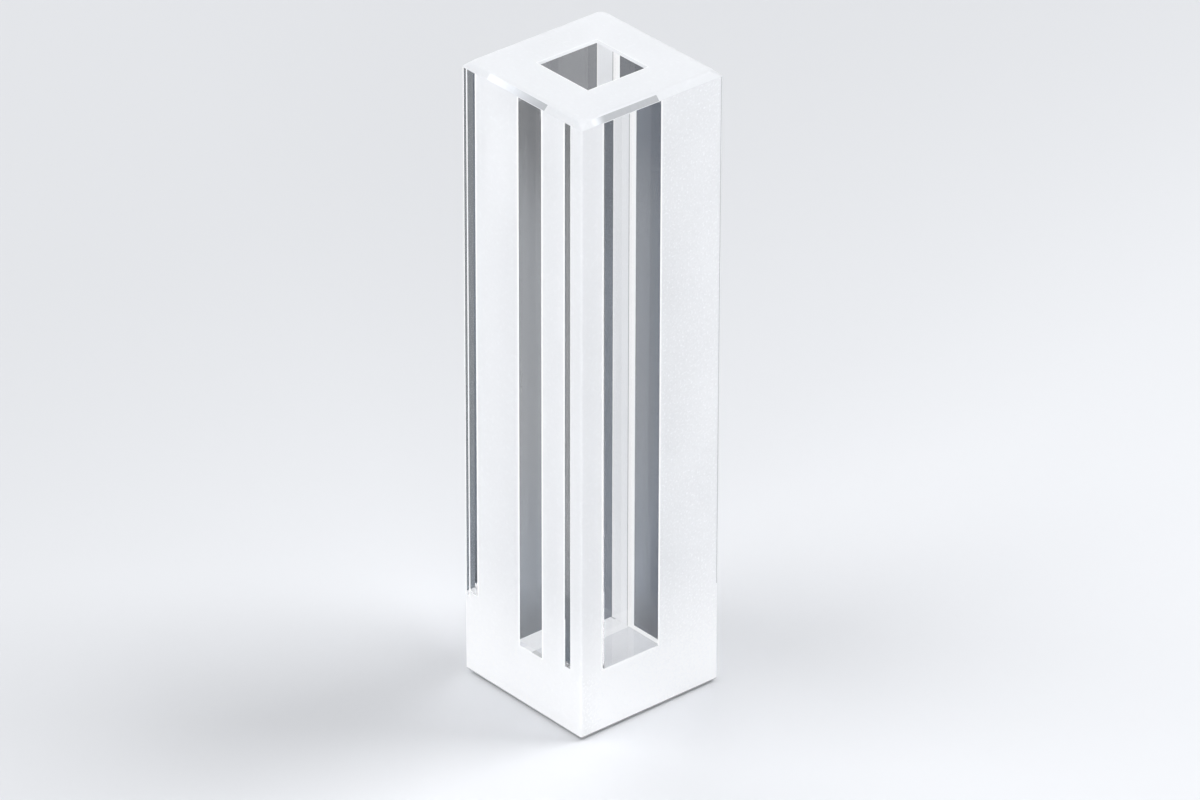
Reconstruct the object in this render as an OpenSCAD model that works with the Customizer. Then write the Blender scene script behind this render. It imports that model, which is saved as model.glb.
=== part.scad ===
// Square cuvette: a tall block of fused quartz with a blind square well down
// its middle, open at the top. Millimetres, +Z up, origin at the centre of the base.

/* [Block] */
// Width across two opposite side faces
block_w = 12.5; // [10:0.1:20]
// Height from the base to the rim
block_h = 48; // [20:0.5:60]

/* [Well] */
// Width of the square well
well_w = 5; // [2:0.1:6]
// Thickness of the quartz under the well
floor_t = 3.5; // [1:0.1:10]

/* [Bevels] */
// Bevel round the top of the block
top_bevel = 0.45; // [0.1:0.05:0.8]
// Bevel round the base of the block
base_bevel = 0.25; // [0.1:0.05:0.8]
// Bevel down each upright edge
side_bevel = 0.1; // [0.05:0.05:0.8]
// Bevel round the mouth of the well
mouth_bevel = 0.15; // [0.05:0.05:0.4]

/* [Hidden] */

half_w = block_w / 2;
half_well = well_w / 2;
// Cutters run this far past the face that they cut
overrun = 1;

// Plan of the block: a square with its corners taken off
plan_outline = [
    [half_w - side_bevel, -half_w],
    [half_w, -half_w + side_bevel],
    [half_w, half_w - side_bevel],
    [half_w - side_bevel, half_w],
    [-half_w + side_bevel, half_w],
    [-half_w, half_w - side_bevel],
    [-half_w, -half_w + side_bevel],
    [-half_w + side_bevel, -half_w]
];

// The block seen square on, with its base and top bevels
upright_outline = [
    [half_w - base_bevel, 0],
    [half_w, base_bevel],
    [half_w, block_h - top_bevel],
    [half_w - top_bevel, block_h],
    [-half_w + top_bevel, block_h],
    [-half_w, block_h - top_bevel],
    [-half_w, base_bevel],
    [-half_w + base_bevel, 0]
];

// The well seen square on, wider at its mouth
well_outline = [
    [half_well, floor_t],
    [half_well, block_h - mouth_bevel],
    [half_well + mouth_bevel + overrun, block_h + overrun],
    [-half_well - mouth_bevel - overrun, block_h + overrun],
    [-half_well, block_h - mouth_bevel],
    [-half_well, floor_t]
];

// A square-sectioned form: one outline, seen the same from the front and from the side
module seen_both_ways(outline, depth) {
    intersection() {
        rotate([90, 0, 0])
            linear_extrude(height = depth, center = true) polygon(outline);
        rotate([90, 0, 90])
            linear_extrude(height = depth, center = true) polygon(outline);
    }
}

module outer_form() {
    intersection() {
        linear_extrude(height = block_h) polygon(plan_outline);
        seen_both_ways(upright_outline, block_w);
    }
}

module well() {
    seen_both_ways(well_outline, block_w);
}

module quartz_block() {
    color("whitesmoke")
        difference() {
            outer_form();
            well();
        }
}

quartz_block();
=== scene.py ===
import math

import bmesh
import bpy
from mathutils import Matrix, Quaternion, Vector


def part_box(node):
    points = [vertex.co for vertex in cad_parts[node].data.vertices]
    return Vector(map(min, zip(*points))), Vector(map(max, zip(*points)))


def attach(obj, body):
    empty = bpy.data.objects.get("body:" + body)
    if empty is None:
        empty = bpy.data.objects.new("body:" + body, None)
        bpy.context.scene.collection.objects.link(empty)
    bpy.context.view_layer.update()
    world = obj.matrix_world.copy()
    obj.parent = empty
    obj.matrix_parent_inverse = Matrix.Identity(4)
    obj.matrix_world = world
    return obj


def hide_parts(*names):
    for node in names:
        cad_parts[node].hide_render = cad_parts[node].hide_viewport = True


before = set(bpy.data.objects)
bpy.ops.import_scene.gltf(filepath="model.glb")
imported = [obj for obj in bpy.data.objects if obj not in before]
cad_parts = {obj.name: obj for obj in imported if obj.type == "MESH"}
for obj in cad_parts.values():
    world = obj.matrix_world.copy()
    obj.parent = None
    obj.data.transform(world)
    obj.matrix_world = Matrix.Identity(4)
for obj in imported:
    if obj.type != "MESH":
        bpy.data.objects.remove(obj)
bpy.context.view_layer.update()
mm = 0.001  # a millimetre in metres
blockNode = "quartz_block"
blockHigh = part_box(blockNode)[1]  # its corner with the highest X, Y and Z
halfWidth = blockHigh[0]
blockHeight = blockHigh[2]
print("frame loaded")


def newShader(name):
    material = bpy.data.materials.new(name)
    material.use_nodes = True
    return material, material.node_tree, material.node_tree.nodes["Principled BSDF"]


def newGroup(name, inputs, outputs):
    group = bpy.data.node_groups.new(name, "ShaderNodeTree")
    for label, kind, value in inputs:
        socket = group.interface.new_socket(label, in_out="INPUT", socket_type="NodeSocket" + kind)
        socket.default_value = value
    for label, kind in outputs:
        group.interface.new_socket(label, in_out="OUTPUT", socket_type="NodeSocket" + kind)
    given = group.nodes.new("NodeGroupInput").outputs
    result = group.nodes.new("NodeGroupOutput").inputs
    return group, given, result


def calculate(tree, operation, *values):
    # a Math node whose inputs are numbers or sockets; gives its result
    node = tree.nodes.new("ShaderNodeMath")
    node.operation = operation
    for slot, value in zip(node.inputs, values):
        if isinstance(value, (int, float)):
            slot.default_value = value
        else:
            tree.links.new(value, slot)
    return node.outputs[0]


def blendColours(tree, share, first, second, mode="MIX"):
    # colours and share are values or sockets; gives the blended colour
    node = tree.nodes.new("ShaderNodeMix")
    node.data_type = "RGBA"
    node.blend_type = mode
    for slot, value in ((node.inputs[0], share), (node.inputs[6], first), (node.inputs[7], second)):
        if isinstance(value, (int, float, tuple)):
            slot.default_value = value
        else:
            tree.links.new(value, slot)
    return node.outputs[2]


grainPlan = {
    "grainDetail": 2.0,
    "cloudDetail": 1.0,
    "fleckDetail": 0.0,
    "fleckLevel": 0.58,  # where the noise is above this, there is a fleck
    "fleckSharpness": 6.0,  # how fast a fleck brightens above that
}


def makeGrainGroup():
    # the marks of loose grit: a brightness near 1, with coarser flecks, and a height
    group, given, result = newGroup(
        "grinding grain",
        (
            ("Grain Size", "Float", 0.25),
            ("Cloud Size", "Float", 6.0),
            ("Contrast", "Float", 0.03),
            ("Fleck Size", "Float", 0.3),
            ("Flecks", "Float", 0.03),
        ),
        (("Brightness", "Float"), ("Height", "Float")),
    )
    place = group.nodes.new("ShaderNodeTexCoord").outputs["Object"]

    def noise(size, detail):
        node = group.nodes.new("ShaderNodeTexNoise")
        node.inputs["Detail"].default_value = detail
        group.links.new(place, node.inputs["Vector"])
        group.links.new(calculate(group, "DIVIDE", 1 / mm, size), node.inputs["Scale"])
        return node.outputs["Fac"]

    grain = noise(given["Grain Size"], grainPlan["grainDetail"])
    cloud = noise(given["Cloud Size"], grainPlan["cloudDetail"])
    fleck = noise(given["Fleck Size"], grainPlan["fleckDetail"])
    # the two noises add up to 1 on average
    uneven = calculate(group, "SUBTRACT", calculate(group, "ADD", grain, cloud), 1.0)
    fine = calculate(group, "MULTIPLY_ADD", uneven, given["Contrast"], 1.0)
    excess = calculate(group, "SUBTRACT", fleck, grainPlan["fleckLevel"])
    sharp = calculate(group, "MULTIPLY", excess, grainPlan["fleckSharpness"])
    sparks = calculate(group, "MULTIPLY", calculate(group, "MAXIMUM", sharp, 0.0), given["Flecks"])
    group.links.new(calculate(group, "ADD", fine, sparks), result["Brightness"])
    group.links.new(grain, result["Height"])
    return group


def makeRampGroup():
    # a colour that passes smoothly from one value to another along a line through the object
    group, given, result = newGroup(
        "ramp along a line",
        (
            ("Direction", "Vector", (0, 0, 1)),
            ("Start", "Float", 0.0),
            ("End", "Float", 10.0),
            ("First", "Color", (1, 1, 1, 1)),
            ("Second", "Color", (1, 1, 1, 1)),
        ),
        (("Colour", "Color"),),
    )
    place = group.nodes.new("ShaderNodeTexCoord").outputs["Object"]
    reach = group.nodes.new("ShaderNodeVectorMath")
    reach.operation = "DOT_PRODUCT"
    group.links.new(place, reach.inputs[0])
    group.links.new(given["Direction"], reach.inputs[1])
    share = group.nodes.new("ShaderNodeMapRange")
    share.interpolation_type = "SMOOTHSTEP"
    group.links.new(calculate(group, "DIVIDE", reach.outputs["Value"], mm), share.inputs["Value"])
    group.links.new(given["Start"], share.inputs["From Min"])
    group.links.new(given["End"], share.inputs["From Max"])
    mixed = blendColours(group, share.outputs[0], given["First"], given["Second"])
    group.links.new(mixed, result["Colour"])
    return group


grainGroup = makeGrainGroup()
rampGroup = makeRampGroup()


def useGroup(tree, group, **values):
    node = tree.nodes.new("ShaderNodeGroup")
    node.node_tree = group
    for name, value in values.items():
        node.inputs[name.replace("_", " ")].default_value = value
    return node.outputs


def grey(level):
    return (level, level, level, 1)


def rampsOver(tree, colour, ramps):
    # each ramp multiplies the colour: (direction, start, end, first, second), places in mm
    for direction, start, end, first, second in ramps:
        ramp = useGroup(
            tree, rampGroup, Direction=direction, Start=start, End=end, First=first, Second=second
        )
        colour = blendColours(tree, 1.0, colour, ramp["Colour"], "MULTIPLY")
    return colour


# ramps on the ground sides: painted light, whiter at the foot where light gathers in the base, and
# painted shade, duller by the front upright edge
footPaintedGlow = ((0, 0, 1), 3.0, 12.0, grey(1.0), (0.853, 0.859, 0.869, 1))
rightFrontPaintedShade = ((0, 1, 0), -6.0, -3.8, grey(0.925), grey(1.0))
leftFrontPaintedShade = ((1, 0, 0), 0.0, 3.5, grey(1.0), grey(0.965))
# Ground quartz: part of the light scatters off the skin, and the rest comes through it
groundFinish = {
    "colour": (0.99, 0.993, 1.0, 1),
    "throughColour": (0.985, 0.99, 1.0, 1),
    "throughShare": 0.37,
    "grainSize": 0.22,  # mm
    "cloudSize": 7.0,  # mm
    "contrast": 0.05,
    "fleckSize": 0.3,  # mm
    "flecks": 0.03,
    "roughness": 0.5,
    "bump": 0.12,
    "ramps": [footPaintedGlow],
    "clearShare": 0.0,  # the part of the skin that is clear
    "clearRoughness": 0.3,
    "clearInside": False,  # clear to light that comes from inside
}
coarseGrit = {"contrast": 0.15, "fleckSize": 0.16, "flecks": 0.12}
# the rims are real ground edges painted whiter than the ground, a painted highlight
highlightLine = {"colour": grey(1.0), "throughShare": 0.0, "contrast": 0.0, "ramps": []}
# Finishes made the same way, with the values that differ
groundVariants = {
    "ground side": {"ramps": [leftFrontPaintedShade, footPaintedGlow]},
    "ground far": {"throughShare": 0.5},
    "ground right": {**coarseGrit, "ramps": [rightFrontPaintedShade, footPaintedGlow]},
    "ground front": {"ramps": [rightFrontPaintedShade, footPaintedGlow]},
    "ground over mirror": {**coarseGrit, "clearInside": True},
    "ground top": {
        "colour": (0.963, 0.977, 1.0, 1),
        "contrast": 0.08,
        "clearShare": 0.12,
        "ramps": [],
    },
    "bevel": {"colour": (0.895, 0.907, 0.925, 1)},
    # painted shade: stretches of the top bevel are painted grey, and fade towards the left, as seen
    # from the front edge
    "dull bevel left": {
        "colour": (0.435, 0.45, 0.475, 1),
        "throughShare": 0.0,
        "ramps": [((1, 0, 0), -3.3, 2.3, grey(2.05), grey(1.0))],
    },
    "dull bevel right": {
        "colour": (0.405, 0.418, 0.44, 1),
        "throughShare": 0.0,
        "ramps": [((0, 1, 0), -5.1, -4.0, grey(2.05), grey(1.0))],
    },
    # painted shadow: the bevel under the base is dark grey for the contact shadow beneath the block
    "shadowed base bevel": {"colour": grey(0.45), "throughShare": 0.0, "ramps": []},
    "highlight line": highlightLine,
    "highlight over mirror": {**highlightLine, "clearInside": True},
    "highlight band": {**highlightLine, "throughColour": grey(1.0), "throughShare": 0.9},
    # painted shade: the grey of a thin shaded line beside a rim
    "dull line": {"colour": grey(0.55), "throughColour": grey(0.6)},
    # the base, which shows through the floor of the well; its face there and a patch beside it are
    # painted in shade, for the dark where it stands on the floor
    "shaded standing face": {"colour": (0.81, 0.815, 0.83, 1), "throughShare": 0.0, "ramps": []},
    "shaded standing patch": {"colour": grey(0.62), "throughShare": 0.0, "ramps": []},
    "standing rest": {"colour": grey(1.0), "throughShare": 0.0, "ramps": []},
}
quartzIndex = 1.458  # of refraction, for fused quartz


def mixShaders(tree, share, first, second):
    # share is a number or a socket
    node = tree.nodes.new("ShaderNodeMixShader")
    if isinstance(share, float):
        node.inputs[0].default_value = share
    else:
        tree.links.new(share, node.inputs[0])
    tree.links.new(first, node.inputs[1])
    tree.links.new(second, node.inputs[2])
    return node.outputs[0]


def makeClear(tree, roughness, shader=None):
    # clear quartz, on the shader given or on a new one
    clear = shader or tree.nodes.new("ShaderNodeBsdfPrincipled")
    clear.inputs["Base Color"].default_value = grey(1.0)
    clear.inputs["Roughness"].default_value = roughness
    clear.inputs["IOR"].default_value = quartzIndex
    clear.inputs["Transmission Weight"].default_value = 1.0
    return clear.outputs[0]


def makeGround(name, variant):
    finish = {**groundFinish, **variant}
    material, tree, skin = newShader(name)
    skin.inputs["Roughness"].default_value = finish["roughness"]
    skin.inputs["IOR"].default_value = quartzIndex
    grain = useGroup(
        tree,
        grainGroup,
        Grain_Size=finish["grainSize"],
        Cloud_Size=finish["cloudSize"],
        Contrast=finish["contrast"],
        Fleck_Size=finish["fleckSize"],
        Flecks=finish["flecks"],
    )
    colour = blendColours(tree, 1.0, finish["colour"], grain["Brightness"], "MULTIPLY")
    tree.links.new(rampsOver(tree, colour, finish["ramps"]), skin.inputs["Base Color"])
    bump = tree.nodes.new("ShaderNodeBump")
    bump.inputs["Strength"].default_value = finish["bump"]
    bump.inputs["Distance"].default_value = finish["grainSize"] * mm
    tree.links.new(grain["Height"], bump.inputs["Height"])
    tree.links.new(bump.outputs[0], skin.inputs["Normal"])
    shader = skin.outputs[0]
    if finish["throughShare"]:
        through = tree.nodes.new("ShaderNodeBsdfTranslucent")
        through.inputs["Color"].default_value = finish["throughColour"]
        shader = mixShaders(tree, finish["throughShare"], shader, through.outputs[0])
    if finish["clearShare"]:
        clear = makeClear(tree, finish["clearRoughness"])
        shader = mixShaders(tree, finish["clearShare"], shader, clear)
    if finish["clearInside"]:
        inside = tree.nodes.new("ShaderNodeNewGeometry").outputs["Backfacing"]
        shader = mixShaders(tree, inside, shader, makeClear(tree, 0.0))
    tree.links.new(shader, tree.nodes["Material Output"].inputs["Surface"])
    return material


# Polished quartz: clear from outside. Where a direct view leaves it from inside, its colour is
# darkened:
# painted shade that stands for the dark surroundings seen through the clear quartz. The ramps
# darken that painted shade towards the head and the foot of the block, and towards its right.
headRamp = ((0, 0, 1), 33.0, 42.0, grey(1.0), (0.145, 0.205, 0.30, 1))
footRamp = ((0, 0, 1), 2.8, 7.0, grey(0.3), grey(1.0))
lowRamp = ((0, 0, 1), 5.0, 20.0, (0.70, 0.79, 0.92, 1), grey(1.0))
windowShades = {
    "left window": {
        "paintedDark": (0.080, 0.086, 0.092, 1),
        "ramps": [
            ((0, 1.4, 1), 32.0, 42.5, grey(1.0), grey(0.15)),
            footRamp,
            lowRamp,
        ],
    },
    "narrow window": {
        "paintedDark": (0.042, 0.051, 0.066, 1),
        "ramps": [((0, 0, 1), 28.0, 36.0, grey(1.0), grey(0.5))],
    },
    "right window": {
        "paintedDark": (0.044, 0.052, 0.064, 1),
        "ramps": [
            headRamp,
            ((1, 0, 0), -2.1, 0.3, grey(1.0), (0.39, 0.45, 0.53, 1)),
            ((1, 0, -0.2), -3.0, -0.6, grey(1.0), (0.09, 0.14, 0.22, 1)),
            footRamp,
            lowRamp,
        ],
    },
    "slit window": {
        "paintedDark": (0.090, 0.092, 0.093, 1),
        "ramps": [
            ((0, 0, 1), 34.0, 43.0, grey(1.0), grey(0.45)),
            ((0, 0, 1), -1.0, 12.0, (0.20, 0.30, 0.42, 1), grey(1.0)),
        ],
    },
    "edge window": {"paintedDark": (0.050, 0.056, 0.061, 1), "ramps": [lowRamp]},
    # the parts of the far strips that show through the well's mouth
    "left mouth window": {"paintedDark": (0.108, 0.111, 0.116, 1), "ramps": []},
    "right mouth window": {"paintedDark": (0.033, 0.036, 0.042, 1), "ramps": []},
}


def makePolished(name, paintedDark=None, ramps=()):
    material, tree, glass = newShader(name)
    makeClear(tree, 0.0, glass)
    # the painted shade goes on where a direct view leaves the quartz from inside
    if paintedDark:
        leaving = tree.nodes.new("ShaderNodeNewGeometry").outputs["Backfacing"]
        scattered = tree.nodes.new("ShaderNodeLightPath").outputs["Is Diffuse Ray"]
        direct = calculate(tree, "GREATER_THAN", leaving, scattered)
        colour = blendColours(tree, direct, grey(1.0), rampsOver(tree, paintedDark, ramps))
        tree.links.new(colour, glass.inputs["Base Color"])
    return material


finishes = {name: makeGround(name + " quartz", variant) for name, variant in groundVariants.items()}
for name, look in windowShades.items():
    finishes[name] = makePolished(name + " quartz", look["paintedDark"], look["ramps"])
finishes["well"] = makePolished("polished well quartz")
finishOrder = list(finishes)
print("quartz finishes made")


upward = Vector((0, 0, 1))
# outward direction of each side, and the direction in which places along it are measured
sides = {
    "right": (Vector((1, 0, 0)), Vector((0, 1, 0))),
    "left": (Vector((0, -1, 0)), Vector((-1, 0, 0))),
    "farLeft": (Vector((-1, 0, 0)), Vector((0, 1, 0))),
    "farRight": (Vector((0, 1, 0)), Vector((-1, 0, 0))),
}
# Strips of the sides, each painted over those before it. Those that name no finish are polished.
# Start and end are mm along the side from its end nearer the front upright edge, and foot is mm
# above the base. Rims are the widths of the bright lines, painted highlights, at the start, the end
# and the foot, and dull is the width of a grey line of painted shade outside those at the end and
# the foot.
strips = [
    {"side": "right", "start": 0.0, "end": 1.83, "foot": 5.0, "finish": "ground front"},
    {"side": "right", "start": 1.93, "end": 6.97, "foot": 5.0, "rims": (0.1, 0.14, 0.06)},
    {"side": "right", "start": 10.4, "end": 12.0, "foot": 0.45, "finish": "ground over mirror"},
    {"side": "left", "start": 1.17, "end": 1.76, "foot": 5.28, "rims": (0.05, 0.12, 0)},
    {"side": "left", "start": 4.20, "end": 6.57, "foot": 4.74, "rims": (0.14, 0.14, 0.06)},
    {"side": "left", "start": 11.12, "end": 11.92, "foot": 6.6, "rims": (0.12, 0.14, 0)},
    {
        "side": "left",
        "start": 12.04,
        "end": 12.30,
        "foot": 6.25,
        "rims": (0.12, 0.2, 0),
        "rimFinish": "highlight over mirror",
    },
    {"side": "farLeft", "start": 0.12, "end": 2.40, "foot": 2.0},
    {"side": "farLeft", "start": 5.30, "end": 10.85, "foot": 1.93, "rims": (0.1, 0.22, 0.35)},
    {"side": "farLeft", "start": 8.4, "end": 10.85, "foot": 1.93, "finish": "narrow window"},
    {"side": "farLeft", "start": 7.4, "end": 10.85, "foot": 42.4, "finish": "left mouth window"},
    {"side": "farLeft", "start": 5.30, "end": 10.85, "foot": 44.3, "finish": "left mouth window"},
    {"side": "farRight", "start": 0.30, "end": 1.20, "foot": 0.3, "finish": "slit window"},
    {
        "side": "farRight",
        "start": 5.75,
        "end": 8.42,
        "foot": 2.25,
        "rims": (0.1, 0.68, 0.35),
        "dull": 0.09,
    },
    {"side": "farRight", "start": 5.75, "end": 8.42, "foot": 44.4, "finish": "right mouth window"},
    {
        "side": "farRight",
        "start": 10.80,
        "end": 11.90,
        "foot": 1.0,
        "rims": (0.12, 0, 0),
        "finish": "edge window",
    },
]
blockPlan = {
    "softening": 0.05,  # mm, the rounding of the outer edges
    "softSegments": 2,
    "topSoftening": 0.18,  # mm, the rounding between the top and its bevel
    "topSegments": 3,
    "sharpAngle": 20.0,  # degrees, from which an edge is rounded
    "topCorner": 0.75,  # mm, the radius of the corners of the top
    "baseCorner": 0.5,  # mm, the radius of the corners of the base
    "cornerFacets": 5,
    # painted highlight: a white line round the mouth of the well for the glint on its edge
    "mouthHighlight": 0.04,  # mm, the bright line round the mouth of the well
    # where the painted shade on the base ends, and the patch of painted shade
    "shadedFaceEnd": 8.85,  # mm from the right side
    "shadedPatch": ((-5.1, -4.0), (4.0, 5.6)),  # mm from the middle, in X and in Y
    # stretches of the top bevel painted grey as shade, in mm along each side
    "dullBevel": {"right": [(1.1, 6.8)], "left": [(3.9, 9.9)]},
    "dullSlack": 10.0,  # degrees from the bevel's slope, to take in some of its rounding
    # grey lines of painted shade down a side: start, end, foot
    "dullLines": {"right": [(12.3, 12.38, 8.0)]},
}
# the finishes of strips and rims that name none
windowFinish = {
    "right": "right window",
    "left": "left window",
    "farLeft": "left window",
    "farRight": "right window",
}
# the rims are ground edges painted whiter than the ground, a painted highlight
rimFinish = {
    "right": "highlight line",
    "left": "highlight line",
    "farLeft": "highlight band",
    "farRight": "highlight band",
}
touching = 0.001 * mm  # points nearer than this are in the same place
cutSlack = 0.0001 * mm  # a cut passes through a corner this near
flatAngle = 0.01  # radians, within which faces lie in one plane
outerShare = 0.8  # what lies further out than this share of the block's reach is its outside
# the least part of a face's direction that lies along an axis, where the face is level, where
# it belongs to a side, and where it slopes
levelFacing = 0.999
sideFacing = 0.9
slopeFacing = 0.1


def stripAreas(side, top):
    # finish, start, end, foot and head of each area of a side, in the order they are painted
    areas = [("dull line", *line, top) for line in blockPlan["dullLines"].get(side, [])]
    for strip in strips:
        if strip["side"] == side:
            start, end, foot = strip["start"], strip["end"], strip["foot"]
            before, after, below = strip.get("rims", (0, 0, 0))
            # a line of painted shade, dull wide, outside the rims
            if "dull" in strip:
                dull = strip["dull"]
                areas.append(("dull line", start, end + after + dull, foot - below - dull, top))
            if "rims" in strip:
                rim = strip.get("rimFinish", rimFinish[side])
                areas.append((rim, start - before, end + after, foot - below, top))
            areas.append((strip.get("finish", windowFinish[side]), start, end, foot, top))
    return areas


def setFinish(face, finish):
    face.material_index = finishOrder.index(finish)


def outerFaces(shape, direction, outward=None, slack=2.0):
    # the faces on the outside of the block that look in a direction, within slack degrees
    outward = outward or direction
    reach = outerShare * (blockHeight if outward == upward else halfWidth)
    likeness = math.cos(math.radians(slack))
    return [
        face
        for face in shape.faces
        if face.normal.dot(direction) > likeness and face.calc_center_median().dot(outward) > reach
    ]


def cut(shape, faces, point, along):
    edges = {edge for face in faces for edge in face.edges}
    corners = {corner for face in faces for corner in face.verts}
    parts = [*faces, *edges, *corners]
    bmesh.ops.bisect_plane(shape, geom=parts, dist=cutSlack, plane_co=point, plane_no=along)


def paint(shape, direction, outward, along, areas, slack=2.0):
    # cuts the faces that look in a direction at the areas' edges, and sets their finishes
    for finish, start, end, foot, head in areas:
        for place in (start, end):
            point = along * (place * mm - halfWidth)
            cut(shape, outerFaces(shape, direction, outward, slack), point, along)
        for height in (foot, head):
            point = upward * (height * mm)
            cut(shape, outerFaces(shape, direction, outward, slack), point, upward)
    for face in outerFaces(shape, direction, outward, slack):
        centre = face.calc_center_median()
        place = (centre.dot(along) + halfWidth) / mm
        for finish, start, end, foot, head in areas:
            if start < place < end and foot < centre.z / mm < head:
                setFinish(face, finish)


def plainFinish(face):
    centre = face.calc_center_median()
    if max(abs(centre.x), abs(centre.y)) < halfWidth / 2:
        isWall = abs(face.normal.z) < slopeFacing
        return "well" if isWall or centre.z < blockHeight / 2 else "bevel"
    if face.normal.z > levelFacing:
        return "ground top"
    if abs(face.normal.z) > slopeFacing:
        # bevels that face down are painted dark, a painted contact shadow
        isShadowed = face.normal.z < 0 and face.normal.x > -slopeFacing
        return "shadowed base bevel" if isShadowed else "bevel"
    if face.normal.x > sideFacing:
        return "ground right"
    if face.normal.x < -sideFacing or face.normal.y > sideFacing:
        return "ground far"
    # the upright edge between the left and the far left sides shows what leaves behind it, and from
    # outside it is painted white, a painted highlight
    isLeftEdge = max(centre.x, centre.y) < -outerShare * halfWidth
    return "highlight over mirror" if isLeftEdge else "ground side"


def roundCorners(shape, level, radius):
    # takes the corners of the top or the base off in facets, which narrow to the upright edges
    isTop = level > blockHeight / 2
    rim = max(corner.co.x for corner in shape.verts if abs(corner.co.z - level) < touching)
    sideCorners = [corner.co for corner in shape.verts if corner.co.x > halfWidth - touching]
    sideHeights = [place.z for place in sideCorners]
    sideLevel = max(sideHeights) if isTop else min(sideHeights)
    sideEnd = max(place.y for place in sideCorners)
    facets = blockPlan["cornerFacets"]
    for quarter in range(4):
        turn = Quaternion((0, 0, 1), math.radians(90 * quarter))
        for facet in range(facets):
            # each plane touches the rounded outline at this level, and the sides at the bevel's end
            angle = math.radians(90) * (facet + 1) / (facets + 1)
            across, along = math.cos(angle), math.sin(angle)
            sideReach = max(across, along) * halfWidth + min(across, along) * sideEnd
            reach = (rim - radius) * (across + along) + radius
            slope = (sideReach - reach) / (level - sideLevel)
            point = turn @ Vector((across * reach, along * reach, level))
            outward = turn @ Vector((across, along, slope)).normalized()
            bmesh.ops.bisect_plane(
                shape,
                geom=[*shape.faces, *shape.edges, *shape.verts],
                dist=cutSlack,
                plane_co=point,
                plane_no=outward,
                clear_outer=True,
            )
            openEdges = [edge for edge in shape.edges if edge.is_boundary]
            bmesh.ops.holes_fill(shape, edges=openEdges, sides=0)
    bmesh.ops.recalc_face_normals(shape, faces=shape.faces)
    shape.normal_update()


def soften(shape):
    # rounds the outer edges, and leaves those of the well; those of the top are the roundest
    def roundEdges(ofTop, radius, segments):
        chosen = []
        for edge in shape.edges:
            first, second = (corner.co for corner in edge.verts)
            middle = (first + second) / 2
            isOuter = max(abs(middle.x), abs(middle.y)) > outerShare * halfWidth
            isTop = min(first.z, second.z) > blockHeight - touching
            isSharp = edge.calc_face_angle(0) > math.radians(blockPlan["sharpAngle"])
            if isOuter and isSharp and isTop == ofTop:
                chosen.append(edge)
        bmesh.ops.bevel(
            shape, geom=chosen, offset=radius * mm, segments=segments, profile=0.5, affect="EDGES"
        )
        shape.normal_update()

    roundEdges(True, blockPlan["topSoftening"], blockPlan["topSegments"])
    roundEdges(False, blockPlan["softening"], blockPlan["softSegments"])


def buildBlock():
    shape = bmesh.new()
    shape.from_mesh(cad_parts[blockNode].data)
    bmesh.ops.remove_doubles(shape, verts=shape.verts, dist=touching)
    bmesh.ops.dissolve_limit(shape, angle_limit=flatAngle, verts=shape.verts, edges=shape.edges)
    shape.normal_update()
    roundCorners(shape, blockHeight, blockPlan["topCorner"] * mm)
    roundCorners(shape, 0.0, blockPlan["baseCorner"] * mm)
    soften(shape)
    for face in shape.faces:
        setFinish(face, plainFinish(face))
    for side, (outward, along) in sides.items():
        sideTop = max(corner.co.z for face in outerFaces(shape, outward) for corner in face.verts)
        paint(shape, outward, outward, along, stripAreas(side, sideTop / mm))
        slope = (outward + upward).normalized()
        stretches = blockPlan["dullBevel"].get(side, [])
        everyHeight = (0, blockHeight / mm)
        # the stretches of the top bevel painted in shade
        areas = [("dull bevel " + side, start, end, *everyHeight) for start, end in stretches]
        paint(shape, slope, outward, along, areas, blockPlan["dullSlack"])
    paintTop(shape)
    paintBase(shape)
    mesh = bpy.data.meshes.new("cuvette_block")
    shape.to_mesh(mesh)
    shape.free()
    for material in finishes.values():
        mesh.materials.append(material)
    block = bpy.data.objects.new("cuvette_block", mesh)
    bpy.context.scene.collection.objects.link(block)
    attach(block, "root")
    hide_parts(blockNode)
    return block


def paintTop(shape):
    # a painted highlight round the mouth of the well, a white line for the glint on its edge
    corners = [corner.co for face in outerFaces(shape, upward) for corner in face.verts]
    mouth = min(max(abs(place.x), abs(place.y)) for place in corners)
    line = mouth + blockPlan["mouthHighlight"] * mm
    for outward, _ in sides.values():
        cut(shape, outerFaces(shape, upward), outward * line, outward)
    for face in outerFaces(shape, upward):
        centre = face.calc_center_median()
        if max(abs(centre.x), abs(centre.y)) < line:
            setFinish(face, "highlight line")


def paintBase(shape):
    # the face of the base that shows through the well and a patch beside it, both painted in shade,
    # and the rest
    def baseFaces():
        return [face for face in shape.faces if face.normal.z < -levelFacing]

    rightward, backward = sides["right"]
    end = halfWidth - blockPlan["shadedFaceEnd"] * mm
    cut(shape, baseFaces(), rightward * end, rightward)
    patch = [[place * mm for place in pair] for pair in blockPlan["shadedPatch"]]
    for pair, direction in zip(patch, (rightward, backward)):
        for place in pair:
            cut(shape, baseFaces(), direction * place, direction)
    for face in baseFaces():
        centre = face.calc_center_median()
        inPatch = all(low < place < high for (low, high), place in zip(patch, centre))
        finish = "shaded standing patch" if inPatch else "standing rest"
        setFinish(face, "shaded standing face" if centre.x > end else finish)


block = buildBlock()
print("block built with", len(block.data.polygons), "faces")


studio = {
    "floorColour": (0.743, 0.757, 0.785, 1),
    "floorRoughness": 0.65,
    "floorShine": 0.1,
    "floorSize": 6.0,  # metres
    "floorGap": 0.02,  # mm between the floor and the base, which are not quite in touch
    "skyColour": (0.98, 0.985, 1.0, 1),
    "skyStrength": 0.13,
    # painted light: the floor is painted paler towards the right, where more light falls
    "floorLightRamps": [((1, 0, 0), -75.0, 25.0, grey(0.84), grey(1.0))],  # paler towards the right
}


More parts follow.
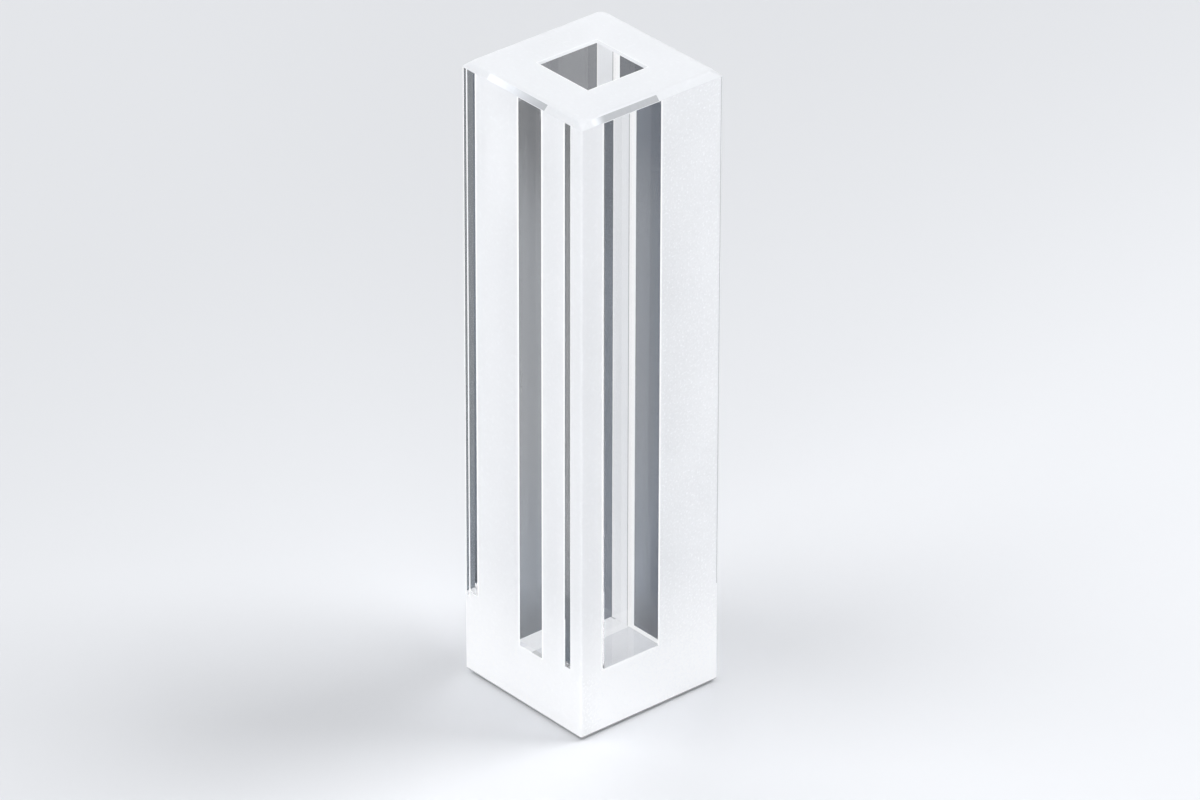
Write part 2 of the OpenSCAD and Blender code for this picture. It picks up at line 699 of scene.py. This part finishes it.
def buildFloor():
    level = -studio["floorGap"] * mm
    bpy.ops.mesh.primitive_plane_add(size=studio["floorSize"], location=(0, 0, level))
    floor = bpy.context.object
    floor.name = "floor"
    material, tree, shader = newShader("pale floor")
    shader.inputs["Roughness"].default_value = studio["floorRoughness"]
    shader.inputs["Specular IOR Level"].default_value = studio["floorShine"]
    colour = rampsOver(tree, studio["floorColour"], studio["floorLightRamps"])
    tree.links.new(colour, shader.inputs["Base Color"])
    floor.data.materials.append(material)


def lightSky():
    world = bpy.data.worlds.new("studio sky")
    bpy.context.scene.world = world
    world.use_nodes = True
    sky = world.node_tree.nodes["Background"]
    sky.inputs["Color"].default_value = studio["skyColour"]
    sky.inputs["Strength"].default_value = studio["skyStrength"]


# places and sizes in metres; each softbox is aimed at the middle of the block
softboxes = {
    "key": {"place": (0.285, 0.575, 0.88), "size": (0.5, 0.5), "watts": 7.2},
    "fill": {"place": (-0.22, -0.46, 0.98), "size": (0.6, 0.6), "watts": 5.8},
    "front": {"place": (0.69, -0.81, 0.2), "size": (0.9, 0.26), "watts": 7.8},
    "rear": {"place": (-1.02, 0.35, 0.38), "size": (1.2, 0.6), "watts": 6.3},
}


def hangSoftboxes():
    for name, box in softboxes.items():
        lamp = bpy.data.lights.new(name, "AREA")
        lamp.shape = "RECTANGLE"
        lamp.size, lamp.size_y = box["size"]
        lamp.energy = box["watts"]
        hung = bpy.data.objects.new(name, lamp)
        bpy.context.scene.collection.objects.link(hung)
        place = Vector(box["place"])
        hung.location = place
        aim = Vector((0, 0, blockHeight / 2)) - place
        hung.rotation_euler = aim.to_track_quat("-Z", "Y").to_euler()


buildFloor()
lightSky()
hangSoftboxes()
print("studio lit")


# angles in degrees, places in metres, lens and sensor in mm
cameraPlan = {
    "azimuth": 49.51,
    "elevation": 29.41,
    "roll": 0.13,
    "distance": 0.5945,
    "lens": 259.6,
    "sensorWidth": 36,
    "clipStart": 0.01,
    "target": (0, 0, 0.0225),
    "aimRight": 0.00056,
    "aimUp": -0.00034,
}


def placeCamera():
    azimuth = math.radians(cameraPlan["azimuth"])
    elevation = math.radians(cameraPlan["elevation"])
    back = Vector(
        (
            math.sin(azimuth) * math.cos(elevation),
            -math.cos(azimuth) * math.cos(elevation),
            math.sin(elevation),
        )
    )
    right = Vector((math.cos(azimuth), math.sin(azimuth), 0))
    up = back.cross(right)
    target = Vector(cameraPlan["target"])
    data = bpy.data.cameras.new("camera")
    data.sensor_width = cameraPlan["sensorWidth"]
    data.lens = cameraPlan["lens"]
    data.clip_start = cameraPlan["clipStart"]
    camera = bpy.data.objects.new("camera", data)
    bpy.context.scene.collection.objects.link(camera)
    camera.location = target + back * cameraPlan["distance"]
    aim = target + right * cameraPlan["aimRight"] + up * cameraPlan["aimUp"]
    camera.rotation_mode = "QUATERNION"
    level = (aim - camera.location).to_track_quat("-Z", "Y")
    camera.rotation_quaternion = level @ Quaternion((0, 0, 1), math.radians(cameraPlan["roll"]))
    bpy.context.scene.camera = camera


placeCamera()
bpy.context.scene.view_settings.view_transform = "Standard"
print("camera placed")

# light that is scattered inside the block crosses many clear surfaces before it leaves
lightPaths = bpy.context.scene.cycles
lightPaths.blur_glossy = 0
lightPaths.max_bounces = 32
lightPaths.diffuse_bounces = 16
lightPaths.glossy_bounces = 16
lightPaths.transmission_bounces = 32
